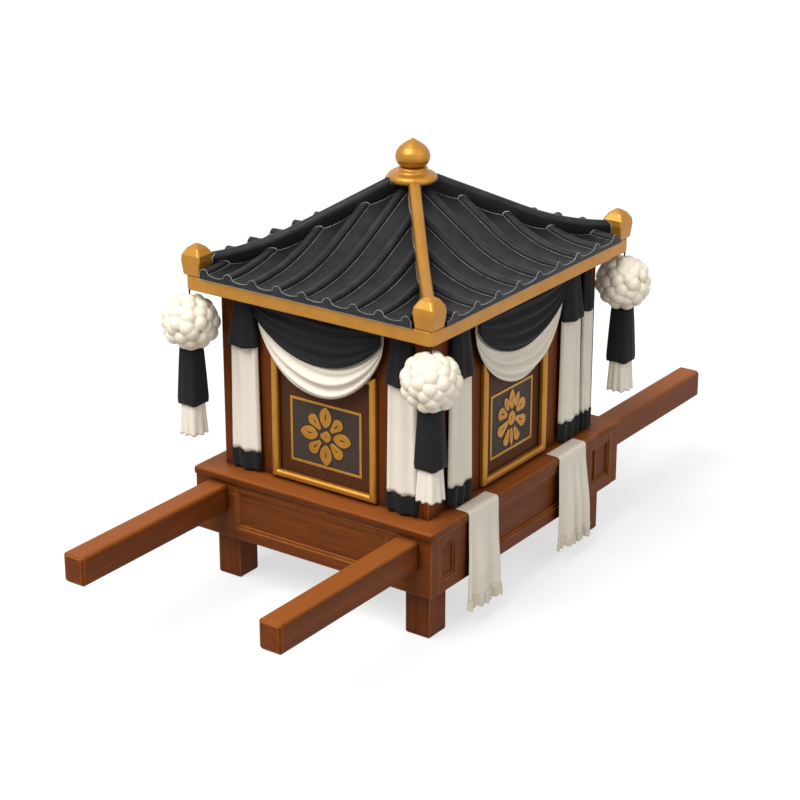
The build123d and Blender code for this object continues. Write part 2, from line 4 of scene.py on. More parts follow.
import bmesh
import bpy
import numpy as np
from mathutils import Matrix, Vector


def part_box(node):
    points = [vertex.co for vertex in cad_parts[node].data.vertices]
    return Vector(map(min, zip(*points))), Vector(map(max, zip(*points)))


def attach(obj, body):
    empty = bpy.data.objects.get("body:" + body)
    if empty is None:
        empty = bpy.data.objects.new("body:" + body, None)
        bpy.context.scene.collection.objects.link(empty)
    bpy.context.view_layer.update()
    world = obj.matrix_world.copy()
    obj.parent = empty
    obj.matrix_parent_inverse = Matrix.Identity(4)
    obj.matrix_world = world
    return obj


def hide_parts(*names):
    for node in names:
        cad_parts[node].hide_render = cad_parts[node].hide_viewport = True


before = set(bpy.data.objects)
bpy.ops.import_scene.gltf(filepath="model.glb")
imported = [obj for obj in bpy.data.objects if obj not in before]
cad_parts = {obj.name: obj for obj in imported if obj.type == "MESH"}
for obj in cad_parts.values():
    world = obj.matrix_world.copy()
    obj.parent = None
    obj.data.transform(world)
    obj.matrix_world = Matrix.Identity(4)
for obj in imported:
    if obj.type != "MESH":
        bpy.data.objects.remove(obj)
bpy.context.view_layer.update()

bl_info = {
    "name": "Funeral bier dressing",
    "version": (1, 0, 0),
    "blender": (4, 5, 0),
    "location": "3D View > Sidebar > Bier",
    "description": "Dresses the packed funeral bier with its finishes, hangings and studio",
    "category": "Object",
}

MM = 0.001
CORNERS = ("front_left", "front_right", "rear_left", "rear_right")

# Timber nodes by the way their grain runs
GRAIN_X = ("pole_left", "pole_right", "side_beam_left", "side_beam_right", "side_deck_rails",
           "floor_boards", "side_head_rails")
GRAIN_Y = ("end_beam_front", "end_beam_rear", "end_deck_rails", "floor_bearers", "end_head_rails")
GRAIN_Z = (*(f"leg_{c}" for c in CORNERS), *(f"post_{c}" for c in CORNERS),
           "wall_front", "wall_rear", "wall_left", "wall_right")
TILED = ("roof_front", "roof_rear", "roof_left", "roof_right", "black_hips")

# The rails that carry the swags and tails, and how far out they reach
CABIN_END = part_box("end_head_rails")[1][0]
CABIN_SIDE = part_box("side_head_rails")[1][1]

# Points across and down each kind of cloth
SWAG_GRID = (61, 57)
BELL_GRID = (61, 21)
TAIL_GRID = (81, 25)
SIDE_CLOTH_GRID = (61, 81)
EDGING_GRID = (145, 17)
LOOP_GRID = (13, 9)
SLEEVE_GRID = (97, 25)
SKIRT_GRID = (145, 17)
BALL_DETAIL = 6

# Gap between a tail and the wall behind it, and between a side cloth and its edging
CLOTH_GAP = 1.5 * MM

# Scale of the Wave node that gives about one band a metre
WAVE_SCALE = 0.32

# Sockets of the Mix node by number, because its names repeat: for numbers, then for colours
FACTOR, NUMBER_A, NUMBER_B = 0, 2, 3
COLOUR_A, COLOUR_B, COLOUR_OUT = 6, 7, 2


def linear(hex_text):
    """Linear RGBA of an sRGB hex colour."""
    parts = [int(hex_text[i:i + 2], 16) / 255 for i in (1, 3, 5)]
    return (*(p / 12.92 if p <= 0.04045 else ((p + 0.055) / 1.055) ** 2.4 for p in parts), 1.0)


def colour_prop(label, text, default):
    """A colour property whose default is an sRGB hex value."""
    return bpy.props.FloatVectorProperty(name=label, description=text, subtype="COLOR", size=4,
                                         min=0.0, max=1.0, default=linear(default))


def number_prop(label, text, default, **kind):
    """A number property."""
    return bpy.props.FloatProperty(name=label, description=text, default=default, **kind)


def length_prop(label, text, default):
    """A property for a length in metres."""
    return number_prop(label, text, default, unit="LENGTH")


def angle_prop(label, text, default):
    """A property for an angle in radians."""
    return number_prop(label, text, default, subtype="ANGLE")


def place_prop(label, text, default):
    """A property for a place in metres."""
    return bpy.props.FloatVectorProperty(name=label, description=text, default=default,
                                         subtype="XYZ", unit="LENGTH")


class BierFinish(bpy.types.PropertyGroup):
    """Colours of the bier's finishes."""
    timber_dark: colour_prop("Timber grain", "Dark bands of the oiled timber", "#3d1c0b")
    timber_mid: colour_prop("Timber", "Main tone of the oiled timber", "#64300f")
    timber_light: colour_prop("Timber light", "Pale bands of the oiled timber", "#82431a")
    # Worn edge: bare timber along rubbed edges, with a painted highlight on them
    timber_worn_and_highlit_edge: colour_prop("Worn edge", "Bare timber along rubbed edges", "#bd7236")
    # Painted highlight: lightens the timber's upward faces, as if lit from above
    timber_top_highlight: colour_prop("Faded top", "Timber bleached and handled on its tops", "#b4672f")
    timber_sheen: colour_prop("Oil sheen", "Warm tint of the oil's sheen", "#e4b38c")
    soffit: colour_prop("Soffit", "Dark stain under the eaves", "#2a1b13")
    gold: colour_prop("Gilding", "Main tone of the gilding", "#bc8530")
    gold_deep: colour_prop("Gilding shade", "Rubbed gilding over its clay ground", "#a66e1f")
    # Gilding edge: burnished edges, with a painted highlight on them
    gold_burnish_and_highlight: colour_prop("Gilding edge", "Burnished edges", "#e0b158")
    tile: colour_prop("Tile", "Charcoal paint on the tiles' crowns", "#323235")
    # Tile shade: dark streaks in the paint, and the painted shade in the pans
    tile_dark_and_pan_shade: colour_prop("Tile shade", "Darker paint in the pans", "#0c0c0e")
    # Tile edge: rubbed paint along the edges, with painted highlight lines on them
    tile_edge_and_highlight: colour_prop("Tile edge", "Chalky rubbed tile edges", "#c4c1ba")
    lacquer: colour_prop("Lacquer field", "Black lacquer inside the gold line", "#40362e")
    mat: colour_prop("Lacquer border", "Brown lacquer around the gold line", "#4c2a15")
    black_cloth: colour_prop("Black cloth", "Mourning cloth", "#19191b")
    white_cloth: colour_prop("White cloth", "Plain cotton", "#ebe2d2")
    edging: colour_prop("Edging", "Unbleached cotton of the side cloths' pleated edges", "#e1d6c3")
    petal: colour_prop("Petals", "Paper petals", "#efe4d0")
    # Petal shade: painted shade in the creases at the foot of the petals
    petal_shade: colour_prop("Petal shade", "Foot of the petals", "#c9b697")


class BierHangings(bpy.types.PropertyGroup):
    """Folds of the cloth hangings and the pendants' petals."""
    swag_end: length_prop("Swag end", "Height of a swag at its gathered ends", 0.045)
    black_folds: number_prop("Black folds", "Folds down a black swag", 4.0)
    white_folds: number_prop("White folds", "Folds down a white swag", 7.0)
    pleat: length_prop("Pleat", "Width of a tail's pleat", 0.05)
    cloth: length_prop("Cloth", "Drawn thickness of the cloth", 0.0016)
    fringe: length_prop("Fringe", "Depth of the pleated edge of a side cloth", 0.046)
    petals: bpy.props.IntProperty(
        name="Petals", description="Petals on a flower ball", default=62, min=20)
    petal_wander: number_prop(
        "Petal wander", "Unevenness of the petals' places, as a share of the ball's radius", 0.10)
    petal_swell: angle_prop(
        "Petal swell", "Angle at the ball's centre from a petal's head to its rim", 0.35)


class BierStage(bpy.types.PropertyGroup):
    """Camera, floor and studio light."""
    azimuth: angle_prop("Azimuth", "Camera direction from the front", math.radians(35.2533))
    elevation: angle_prop("Elevation", "Camera height angle", math.radians(21.4551))
    distance: length_prop("Distance", "Camera distance from its aim point", 6.9188)
    aim: place_prop("Aim", "Point that the camera looks at", (0.0502, -0.0122, 0.5337))
    lens: number_prop("Lens", "Focal length on a 36 mm sensor", 98.9, unit="CAMERA")
    key: number_prop("Key light", "Strength of the key light on the front", 3.35)
    key_from: place_prop("Key place", "Place that the key light shines from", (2.2, -0.6, 3.9))
    key_spread: angle_prop("Key spread", "Width of the key light", math.radians(45))
    fill: number_prop("Fill light", "Strength of the fill light on the long side", 0.85)
    fill_from: place_prop("Fill place", "Place that the fill light shines from", (0.5, 3.4, 2.6))
    fill_spread: angle_prop("Fill spread", "Width of the fill light", math.radians(60))
    lit_height: length_prop("Lit height", "Height on the cabin that both lights point at", 0.6)
    world: number_prop("World", "Strength of the even studio light", 0.36)
    world_tint: colour_prop("World tint", "Colour of the even studio light", "#fbfaf8")
    floor_paper: colour_prop("Floor paper", "Colour of the floor under light", "#a2a2a2")
    floor_glow: number_prop("Floor", "Light of its own that keeps the floor white", 0.66)
    floor_half: length_prop("Floor size", "Half of the floor's side", 30.0)


# Materials

def add(tree, kind, inputs=None, **options):
    """Add a node, set its options, then link or set its inputs by name or number."""
    node = tree.nodes.new(kind)
    for key, value in options.items():
        setattr(node, key, value)
    for key, value in (inputs or {}).items():
        if isinstance(value, bpy.types.NodeSocket):
            tree.links.new(value, node.inputs[key])
        else:
            node.inputs[key].default_value = value
    return node


def calc(tree, operation, *values):
    """Number worked out from one or two numbers."""
    return add(tree, "ShaderNodeMath", dict(enumerate(values)), operation=operation).outputs[0]


def ranged(tree, value, low, high, start=0.0, end=1.0):
    """Number carried over from the range start to end to the range low to high."""
    return add(tree, "ShaderNodeMapRange", {"Value": value, "From Min": start, "From Max": end,
                                            "To Min": low, "To Max": high}).outputs[0]


def noise(tree, place, size, detail, **more):
    """Noise in patches of about a size."""
    return add(tree, "ShaderNodeTexNoise",
               {"Vector": place, "Scale": 1 / size, "Detail": detail, **more}).outputs[0]


def ramp(tree, share, *stops):
    """Colour along a ramp of stops, each a place and a colour."""
    node = add(tree, "ShaderNodeValToRGB", {"Fac": share})
    elements = node.color_ramp.elements
    while len(elements) < len(stops):
        elements.new(1.0)
    for element, (place, colour) in zip(elements, stops):
        element.position = place
        element.color = colour
    return node.outputs[0]


def blend(tree, share, first, second):
    """Colour between a first and a second one by a share."""
    return add(tree, "ShaderNodeMix", {FACTOR: share, COLOUR_A: first, COLOUR_B: second},
               data_type="RGBA").outputs[COLOUR_OUT]


def scaled(tree, colour, share):
    """Colour made darker or lighter by a share."""
    return add(tree, "ShaderNodeVectorMath", {0: colour, "Scale": share},
               operation="SCALE").outputs[0]


def bump(tree, height, strength, depth):
    """Normal of a fine relief."""
    return add(tree, "ShaderNodeBump",
               {"Height": height, "Strength": strength, "Distance": depth}).outputs[0]


def dimmed(colour, share):
    """A colour value times a share."""
    return (*(c * share for c in colour[:3]), 1.0)


def new_material(name, even=None):
    """A material with only its Principled shader, given its even values, and its output."""
    material = bpy.data.materials.new(name)
    material.use_nodes = True
    tree = material.node_tree
    tree.nodes.clear()
    shader = add(tree, "ShaderNodeBsdfPrincipled", even)
    add(tree, "ShaderNodeOutputMaterial", {"Surface": shader.outputs[0]})
    place = add(tree, "ShaderNodeTexCoord").outputs
    return material, tree, shader, place


def link_in(tree, shader, **sockets):
    """Link sockets to the shader's inputs named by words joined with underscores."""
    for key, socket in sockets.items():
        tree.links.new(socket, shader.inputs[key.replace("_", " ")])


def worn_and_highlit_edge(tree, place, reach, spread, least=0.25):
    """Mask of rubbed edges, for wear and a painted highlight: where a rounded normal leaves the
    true one, broken up by noise.
    """
    rounded = add(tree, "ShaderNodeBevel", {"Radius": reach}, samples=6)
    true = add(tree, "ShaderNodeNewGeometry")
    along = add(tree, "ShaderNodeVectorMath",
                {0: rounded.outputs[0], 1: true.outputs["Normal"]}, operation="DOT_PRODUCT")
    sharp_edge = ranged(tree, along.outputs["Value"], 0.0, 1.0, 0.995, 0.90)
    wear_and_painted_light = ranged(tree, noise(tree, place["Object"], spread, 5.0), least, 1.0, 0.35, 0.62)
    return calc(tree, "MULTIPLY", sharp_edge, wear_and_painted_light)


def hollow(tree, reach, least, shut=0.35, clear=0.9):
    """Shade of hollows and inner corners: 1 in the clear, down to the least share where shut in."""
    open_sky = add(tree, "ShaderNodeAmbientOcclusion", {"Distance": reach}, samples=6)
    return ranged(tree, open_sky.outputs["AO"], least, 1.0, shut, clear)


def oiled_timber(name, long_axis, finish):
    """Sawn and oiled softwood: fine grain lengthwise, a painted highlight on upward faces, painted
    shade in hollows, and rubbed edges worn bare with a painted highlight on them.
    """
    material, tree, shader, place = new_material(
        name, {"Specular IOR Level": 0.22, "Specular Tint": finish.timber_sheen})
    grain_width = 5 * MM
    grain_length = 34 * grain_width
    board_share = 0.06
    board_tone, most_top_highlight, most_edge_wear_and_highlight = 0.42, 0.42, 0.65
    stretch = [1 / grain_width] * 3
    stretch["XYZ".index(long_axis)] = 1 / grain_length
    fibre_map = add(tree, "ShaderNodeMapping", {"Vector": place["Object"], "Scale": stretch})
    fibre = noise(tree, fibre_map.outputs[0], 1.0, 7.0, Roughness=0.62, Distortion=0.4)
    tone_map = add(tree, "ShaderNodeMapping",
                   {"Vector": place["Object"], "Scale": [s * board_share for s in stretch]})
    tone = noise(tree, tone_map.outputs[0], 1.0, 3.0, Distortion=1.2)
    both = add(tree, "ShaderNodeMix", {FACTOR: board_tone, NUMBER_A: fibre, NUMBER_B: tone})
    colour = ramp(tree, both.outputs[0], (0.30, finish.timber_dark), (0.50, finish.timber_mid),
                  (0.72, finish.timber_light))
    facing = add(tree, "ShaderNodeNewGeometry")
    upward = add(tree, "ShaderNodeSeparateXYZ", {0: facing.outputs["Normal"]})
    # Painted highlight: faces that point up are lightened towards the top highlight colour
    highlit = ranged(tree, upward.outputs["Z"], 0.0, most_top_highlight, 0.2, 0.95)
    highlit_colour = blend(tree, highlit, colour, finish.timber_top_highlight)
    # Painted shade: the colour is darkened in hollows and inner corners
    shade = hollow(tree, reach=34 * MM, least=0.32)
    # Rubbed edges: bare timber and a painted highlight, kept off inner corners by the painted shade
    edge = worn_and_highlit_edge(tree, place, reach=6 * MM, spread=60 * MM, least=0.45)
    for share in (shade, most_edge_wear_and_highlight):
        edge = calc(tree, "MULTIPLY", edge, share)
    wear_and_painted_light = blend(tree, edge, scaled(tree, highlit_colour, shade), finish.timber_worn_and_highlit_edge)
    link_in(tree, shader, Base_Color=wear_and_painted_light, Roughness=ranged(tree, fibre, 0.42, 0.62),
            Normal=bump(tree, fibre, 0.22, 0.6 * MM))
    return material


def stained_board(finish):
    """Dark stained soffit board: matt, with faint saw marks."""
    material, tree, shader, place = new_material("dark_stained_board", {"Roughness": 0.75})
    saw_length, saw_width = 120 * MM, 6 * MM
    dark = dimmed(finish.soffit, 0.5)
    saw_map = add(tree, "ShaderNodeMapping",
                  {"Vector": place["Object"], "Scale": (1 / saw_length, 1 / saw_width, 1.0)})
    saw = noise(tree, saw_map.outputs[0], 1.0, 6.0)
    link_in(tree, shader, Base_Color=ramp(tree, saw, (0.3, dark), (0.7, finish.soffit)),
            Normal=bump(tree, saw, 0.2, 0.5 * MM))
    return material


def gilding(finish):
    """Water gilding on timber: satin leaf, rubbed patches a hand wide, burnished edges with a
    painted highlight on them.
    """
    material, tree, shader, place = new_material("water_gilding", {"Metallic": 0.55})
    patch, brush_mark = 70 * MM, 3 * MM
    leaf = noise(tree, place["Object"], patch, 6.0, Roughness=0.6)
    brush = noise(tree, place["Object"], brush_mark, 3.0)
    colour = ramp(tree, leaf, (0.15, finish.gold_deep), (0.75, finish.gold))
    # Edges: burnished gilding and a painted highlight
    edge = worn_and_highlit_edge(tree, place, reach=3 * MM, spread=90 * MM)
    link_in(tree, shader, Base_Color=blend(tree, edge, colour, finish.gold_burnish_and_highlight),
            Roughness=ranged(tree, leaf, 0.46, 0.30), Normal=bump(tree, brush, 0.08, 0.4 * MM))
    return material


def painted_tile(finish):
    """Carved timber tiles in charcoal paint: painted shade in the matt pans, satin crowns, and
    rubbed edges with painted highlight lines.
    """
    material, tree, shader, place = new_material("charcoal_painted_tile",
                                                 {"Specular IOR Level": 0.12})
    streak_width, grit_size = 45 * MM, 2.5 * MM
    streak = noise(tree, place["Object"], streak_width, 7.0, Roughness=0.65)
    grit = noise(tree, place["Object"], grit_size, 2.0)
    colour = ramp(tree, streak, (0.12, finish.tile_dark_and_pan_shade), (0.62, finish.tile))
    shade = hollow(tree, reach=20 * MM, least=0.0)
    # Painted shade: the pans between the ribs are darkened towards the tile shade colour
    crown = hollow(tree, reach=70 * MM, least=0.0, shut=0.76, clear=1.0)
    paint = blend(tree, crown, finish.tile_dark_and_pan_shade, colour)
    # Rubbed paint and painted highlight lines on outer edges, kept off inner corners
    edge = worn_and_highlit_edge(tree, place, reach=3.5 * MM, spread=80 * MM, least=0.55)
    shaded_and_highlit_tile = blend(tree, calc(tree, "MULTIPLY", edge, shade), paint, finish.tile_edge_and_highlight)
    link_in(tree, shader, Base_Color=shaded_and_highlit_tile, Roughness=ranged(tree, crown, 0.62, 0.36),
            Normal=bump(tree, grit, 0.12, 0.5 * MM))
    return material


def lacquer(name, across, half, middle, tall, finish):
    """Rubbed lacquer: a black field inside the gold line and a brown border outside it."""
    material, tree, shader, place = new_material(name, {"Specular IOR Level": 0.15})
    haze_width = 30 * MM
    axes = add(tree, "ShaderNodeSeparateXYZ", {0: place["Object"]}).outputs
    side = calc(tree, "DIVIDE", calc(tree, "ABSOLUTE", axes[across]), half)
    rise = calc(tree, "ABSOLUTE", calc(tree, "SUBTRACT", axes["Z"], middle))
    rise = calc(tree, "DIVIDE", rise, tall / 2)
    border = calc(tree, "GREATER_THAN", calc(tree, "MAXIMUM", side, rise), 1.0)
    haze = noise(tree, place["Object"], haze_width, 6.0)
    colour = blend(tree, border, finish.lacquer, finish.mat)
    link_in(tree, shader, Base_Color=scaled(tree, colour, ranged(tree, haze, 0.7, 1.25)),
            Roughness=ranged(tree, haze, 0.45, 0.65))
    return material


def woven_cloth(name, colour, sheen, dim):
    """Plain weave: matt threads with a soft sheen, and painted shade in the creases."""
    material, tree, shader, place = new_material(
        name, {"Roughness": 0.8, "Specular IOR Level": 0.2, "Sheen Weight": sheen,
               "Sheen Roughness": 0.4})
    # Real threads are too fine to show, so they are drawn 3 mm apart
    thread = 3 * MM
    wash_width = 90 * MM
    warp, weft = (
        add(tree, "ShaderNodeTexWave",
            {"Vector": place["UV"], "Scale": 1 / thread * WAVE_SCALE, "Distortion": 0.6,
             "Detail": 1.0}, bands_direction=way).outputs["Fac"] for way in "XY")
    weave = calc(tree, "MULTIPLY", warp, weft)
    wash = noise(tree, place["Object"], wash_width, 5.0)
    tone = ramp(tree, wash, (0.28, dimmed(colour, dim)), (0.6, tuple(colour)))
    # Painted shade: the colour is darkened in the creases of the folds
    crease = hollow(tree, reach=22 * MM, least=0.62)
    link_in(tree, shader, Base_Color=scaled(tree, tone, crease),
            Normal=bump(tree, weave, 0.12, 0.5 * MM))
    return material


def crepe_paper(finish):
    """Crepe paper petals: pale and soft, with a warmer painted shade in the creases between them,
    and fine crimping.
    """
    material, tree, shader, place = new_material(
        "crepe_paper", {"Roughness": 0.42, "Subsurface Weight": 0.12, "Subsurface Scale": 1.0,
                        "Subsurface Radius": (8 * MM, 5 * MM, 3 * MM)})
    crimp_width = 2.2 * MM
    crimp = add(tree, "ShaderNodeTexWave",
                {"Vector": place["UV"], "Scale": WAVE_SCALE / crimp_width, "Distortion": 2.0,
                 "Detail": 2.0})
    # Painted shade: the petals turn to the petal shade colour in the creases
    crease = add(tree, "ShaderNodeAmbientOcclusion", {"Distance": 14 * MM}, samples=8)
    colour = ramp(tree, crease.outputs["AO"], (0.35, finish.petal_shade), (0.85, finish.petal))
    link_in(tree, shader, Base_Color=colour,
            Normal=bump(tree, crimp.outputs["Fac"], 0.1, 0.4 * MM))
    return material


def hung_cloth(kind, finish):
    """One of the three cloths, made the first time that it is asked for."""
    name, colour, sheen, dim = {
        "black": ("black_mourning_cloth", finish.black_cloth, 0.06, 0.75),
        "white": ("white_cotton", finish.white_cloth, 0.08, 0.95),
        "edging": ("unbleached_cotton", finish.edging, 0.08, 0.95),
    }[kind]
    return bpy.data.materials.get(name) or woven_cloth(name, colour, sheen, dim)


# Shared shapes

def finish_node(node, material, bevel=0.0, steps=2, angle=40, smooth=False):
    """Give a CAD node its material and, where asked, softened edges or even shading."""
    weld_reach = 0.02 * MM
    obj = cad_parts[node]
    obj.data.materials.clear()
    obj.data.materials.append(material)
    if bevel or smooth:
        weld = obj.modifiers.new("joined_faces", "WELD")
        weld.merge_threshold = weld_reach
    if bevel:
        soft = obj.modifiers.new("softened_edges", "BEVEL")
        soft.width = bevel
        soft.segments = steps
        soft.limit_method = "ANGLE"
        soft.angle_limit = math.radians(angle)
        soft.harden_normals = not smooth
    if smooth:
        obj.modifiers.new("even_shading", "WEIGHTED_NORMAL")


def solids(node):
    """Boxes of the separate solids of a CAD node, as (lowest corner, highest corner)."""
    digits = 5
    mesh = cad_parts[node].data
    places = np.array([v.co for v in mesh.vertices])
    _, same = np.unique(np.round(places, digits), axis=0, return_inverse=True)
    same = same.ravel()
    group = list(range(same.max() + 1))

    def root(i):
        while group[i] != i:
            group[i] = group[group[i]]
            i = group[i]
        return i

    for face in mesh.polygons:
        first = root(same[face.vertices[0]])
        for v in face.vertices[1:]:
            group[root(same[v])] = first
    roots = np.array([root(i) for i in same])
    return [(places[roots == r].min(0), places[roots == r].max(0)) for r in sorted(set(roots))]


class Face:
    """Place of a hanging solid on the cabin: its middle, width, height and depth seen square on."""

    def __init__(self, low, high):
        size = high - low
        middle = (low + high) / 2
        if abs(middle[0]) / CABIN_END > abs(middle[1]) / CABIN_SIDE:
            self.out = np.array([math.copysign(1, middle[0]), 0, 0])
        else:
            self.out = np.array([0, math.copysign(1, middle[1]), 0])
        self.along = np.cross([0, 0, 1], self.out)
        self.half = abs(np.dot(size, self.along)) / 2
        self.middle = float(np.dot(middle, self.along))
        self.near, self.far = sorted((float(np.dot(low, self.out)), float(np.dot(high, self.out))))
        self.deep = self.far - self.near
        self.low, self.high = float(low[2]), float(high[2])

    def points(self, along, out, up):
        """Grid of points from arrays of place along the face, outward and up."""
        return (np.multiply.outer(along + self.middle, self.along)
                + np.multiply.outer(out, self.out)
                + np.multiply.outer(up, np.array([0, 0, 1.0])))


def cloth_grid(size):
    """Places across a cloth, from -1 to 1, and down it, from 0 to 1."""
    return np.meshgrid(np.linspace(-1, 1, size[0]), np.linspace(0, 1, size[1]))


def ring_grid(size):
    """Angles around a closed cloth, without the last, which meets the first, and places down it."""
    return np.meshgrid(np.linspace(0, 2 * np.pi, size[0])[:-1], np.linspace(0, 1, size[1]))


def rounded_square(angle, power):
    """Reach of a rounded square at an angle, as a share of its half width."""
    return (np.abs(np.cos(angle)) ** power + np.abs(np.sin(angle)) ** power) ** (-1 / power)


def ring_points(middle, reach, angle, z):
    """Grid of points around an upright line."""
    return np.stack([middle[0] + reach * np.cos(angle), middle[1] + reach * np.sin(angle), z],
                    axis=2)


def ease(x, low, high):
    """Smooth step from 0 at low to 1 at high."""
    t = np.clip((x - low) / (high - low), 0, 1)
    return t * t * (3 - 2 * t)


def add_object(name, mesh, material):
    """A smooth object of one material in the scene."""
    mesh.shade_smooth()
    mesh.materials.append(material)
    obj = bpy.data.objects.new(name, mesh)
    bpy.context.scene.collection.objects.link(obj)
    return obj


def sheet_mesh(name, points, material, thickness=0.0, closed=False):
    """Smooth sheet through a grid of points, with its flat size in metres as its UV map."""
    rows, columns = points.shape[:2]
    across = np.linalg.norm(np.diff(points, axis=1), axis=2)
    down = np.linalg.norm(np.diff(points, axis=0), axis=2)
    u = np.concatenate([np.zeros((rows, 1)), np.cumsum(across, axis=1)], axis=1)
    v = np.concatenate([np.zeros((1, columns)), np.cumsum(down, axis=0)], axis=0)
    faces = []
    corners = []
    for j in range(rows - 1):
        for i in range(columns - (0 if closed else 1)):
            k = (i + 1) % columns
            faces.append((j * columns + i, (j + 1) * columns + i, (j + 1) * columns + k,
                          j * columns + k))
            end = max(i, k)
            corners += [(j, i), (j + 1, i), (j + 1, end), (j, end)]
    mesh = bpy.data.meshes.new(name)
    mesh.from_pydata([tuple(p) for p in points.reshape(-1, 3)], [], faces)
    layer = mesh.uv_layers.new(name="flat_cloth")
    for loop, (j, i) in zip(layer.data, corners):
        loop.uv = (u[j, i], v[j, i])
    obj = add_object(name, mesh, material)
    if thickness:
        solid = obj.modifiers.new("cloth_thickness", "SOLIDIFY")
        solid.thickness = thickness
        solid.offset = 0.0
    return obj


def hang(obj, body, nodes):
    """Parent a cloth piece to its body's empty and hide the CAD solids that it stands for."""
    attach(obj, body)
    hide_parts(*nodes)


# Hard pieces

class BIER_OT_timber(bpy.types.Operator):
    """Finish the poles, base, legs, floor and cabin timber"""
    bl_idname = "bier.timber"
    bl_label = "Timber"

    def execute(self, context):
        finish = context.scene.bier_finish
        for axis, nodes in (("X", GRAIN_X), ("Y", GRAIN_Y), ("Z", GRAIN_Z)):
            material = oiled_timber(f"oiled_timber_{axis.lower()}", axis, finish)
            for node in nodes:
                finish_node(node, material, bevel=2.4 * MM, steps=3)
        finish_node("soffit", stained_board(finish), bevel=1 * MM)
        return {"FINISHED"}


class BIER_OT_gilding(bpy.types.Operator):
    """Gild the frames, inlay, fascia, hips, caps and finial"""
    bl_idname = "bier.gilding"
    bl_label = "Gilding"

    def execute(self, context):
        material = gilding(context.scene.bier_finish)
        # Width of the softened edge, its steps and the angle that counts as an edge
        for nodes, bevel, steps, angle in (
                (("end_frames", "side_frames"), 2.5 * MM, 3, 30),
                (("end_inlay", "side_inlay"), 0.8 * MM, 2, 40),
                (("fascia",), 6 * MM, 4, 40),
                (("corner_caps",), 9 * MM, 5, 25)):
            for node in nodes:
                finish_node(node, material, bevel, steps, angle)
        for node in ("gold_hips", "finial_base", "finial_jewel"):
            finish_node(node, material, smooth=True)
        return {"FINISHED"}


class BIER_OT_tiles(bpy.types.Operator):
    """Paint the tiled slopes and the black hips"""
    bl_idname = "bier.tiles"
    bl_label = "Roof tiles"

    def execute(self, context):
        material = painted_tile(context.scene.bier_finish)
        for node in TILED:
            finish_node(node, material)
        return {"FINISHED"}


class BIER_OT_panels(bpy.types.Operator):
    """Lacquer the panels inside the gold frames"""
    bl_idname = "bier.panels"
    bl_label = "Lacquer panels"

    def execute(self, context):
        finish = context.scene.bier_finish
        for pair, across, axis in (("end", "Y", 1), ("side", "X", 0)):
            low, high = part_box(f"{pair}_inlay")
            material = lacquer(f"rubbed_lacquer_{pair}", across, high[axis],
                               (low[2] + high[2]) / 2, high[2] - low[2], finish)
            finish_node(f"{pair}_panels", material)
        return {"FINISHED"}


# Hangings

class BIER_OT_swags(bpy.types.Operator):
    """Hang a black swag over a white one on each face"""
    bl_idname = "bier.swags"
    bl_label = "Swags"

    def execute(self, context):
        hangings = context.scene.bier_hangings
        finish = context.scene.bier_finish
        # Folds down the swag, and the power that rounds its lower edge: less is fuller
        for colour, folds, fullness in (("black", hangings.black_folds, 0.85),
                                        ("white", hangings.white_folds, 0.62)):
            material = hung_cloth(colour, finish)
            node = f"{colour}_swags"
            for i, (low, high) in enumerate(solids(node)):
                points = self.swag(i, Face(low, high), colour, folds, fullness, hangings.swag_end)
                obj = sheet_mesh(f"{colour}_swag_{i + 1}", points, material, hangings.cloth)
                hang(obj, "bier", [node])
        return {"FINISHED"}

    def swag(self, i, face, colour, folds, fullness, end):
        """Points of a swag: level folds that deepen towards its middle, over a rolled hem."""
        white_depth, lip = 12 * MM, 9 * MM
        rest, belly, fold_depth, end_share, hem_roll = 0.15, 0.20, 0.55, 0.4, 0.12
        hem_place, hem_width = 0.975, 0.02
        sway, sway_rate, sway_shift, crease = 0.035, 2.3, 1.1, 1.6
        lip_from, lip_by = 0.60, 0.80
        s, t = cloth_grid(SWAG_GRID)
        middle = 1 - s ** 2
        start, deep = face.near, face.deep
        if colour == "white":
            start, deep = face.far - white_depth, white_depth
        sag = end + (face.high - face.low - end) * middle ** fullness
        wander = sway * np.sin(sway_rate * s + sway_shift * i) * middle
        furrow = 1 - np.abs(np.cos(np.pi * folds * (t + wander))) ** crease
        hem = np.exp(-((t - hem_place) / hem_width) ** 2)
        out = start + deep * (rest + belly * np.sin(np.pi * t) * middle
                              + fold_depth * furrow * (end_share + (1 - end_share) * middle)
                              + hem_roll * hem)
        if colour == "white":
            # Below the black swag the white one comes forward
            out = out + ease(t, lip_from, lip_by) * middle * lip * (1 + furrow)
        return face.points(s * face.half, out, face.high - sag * t)


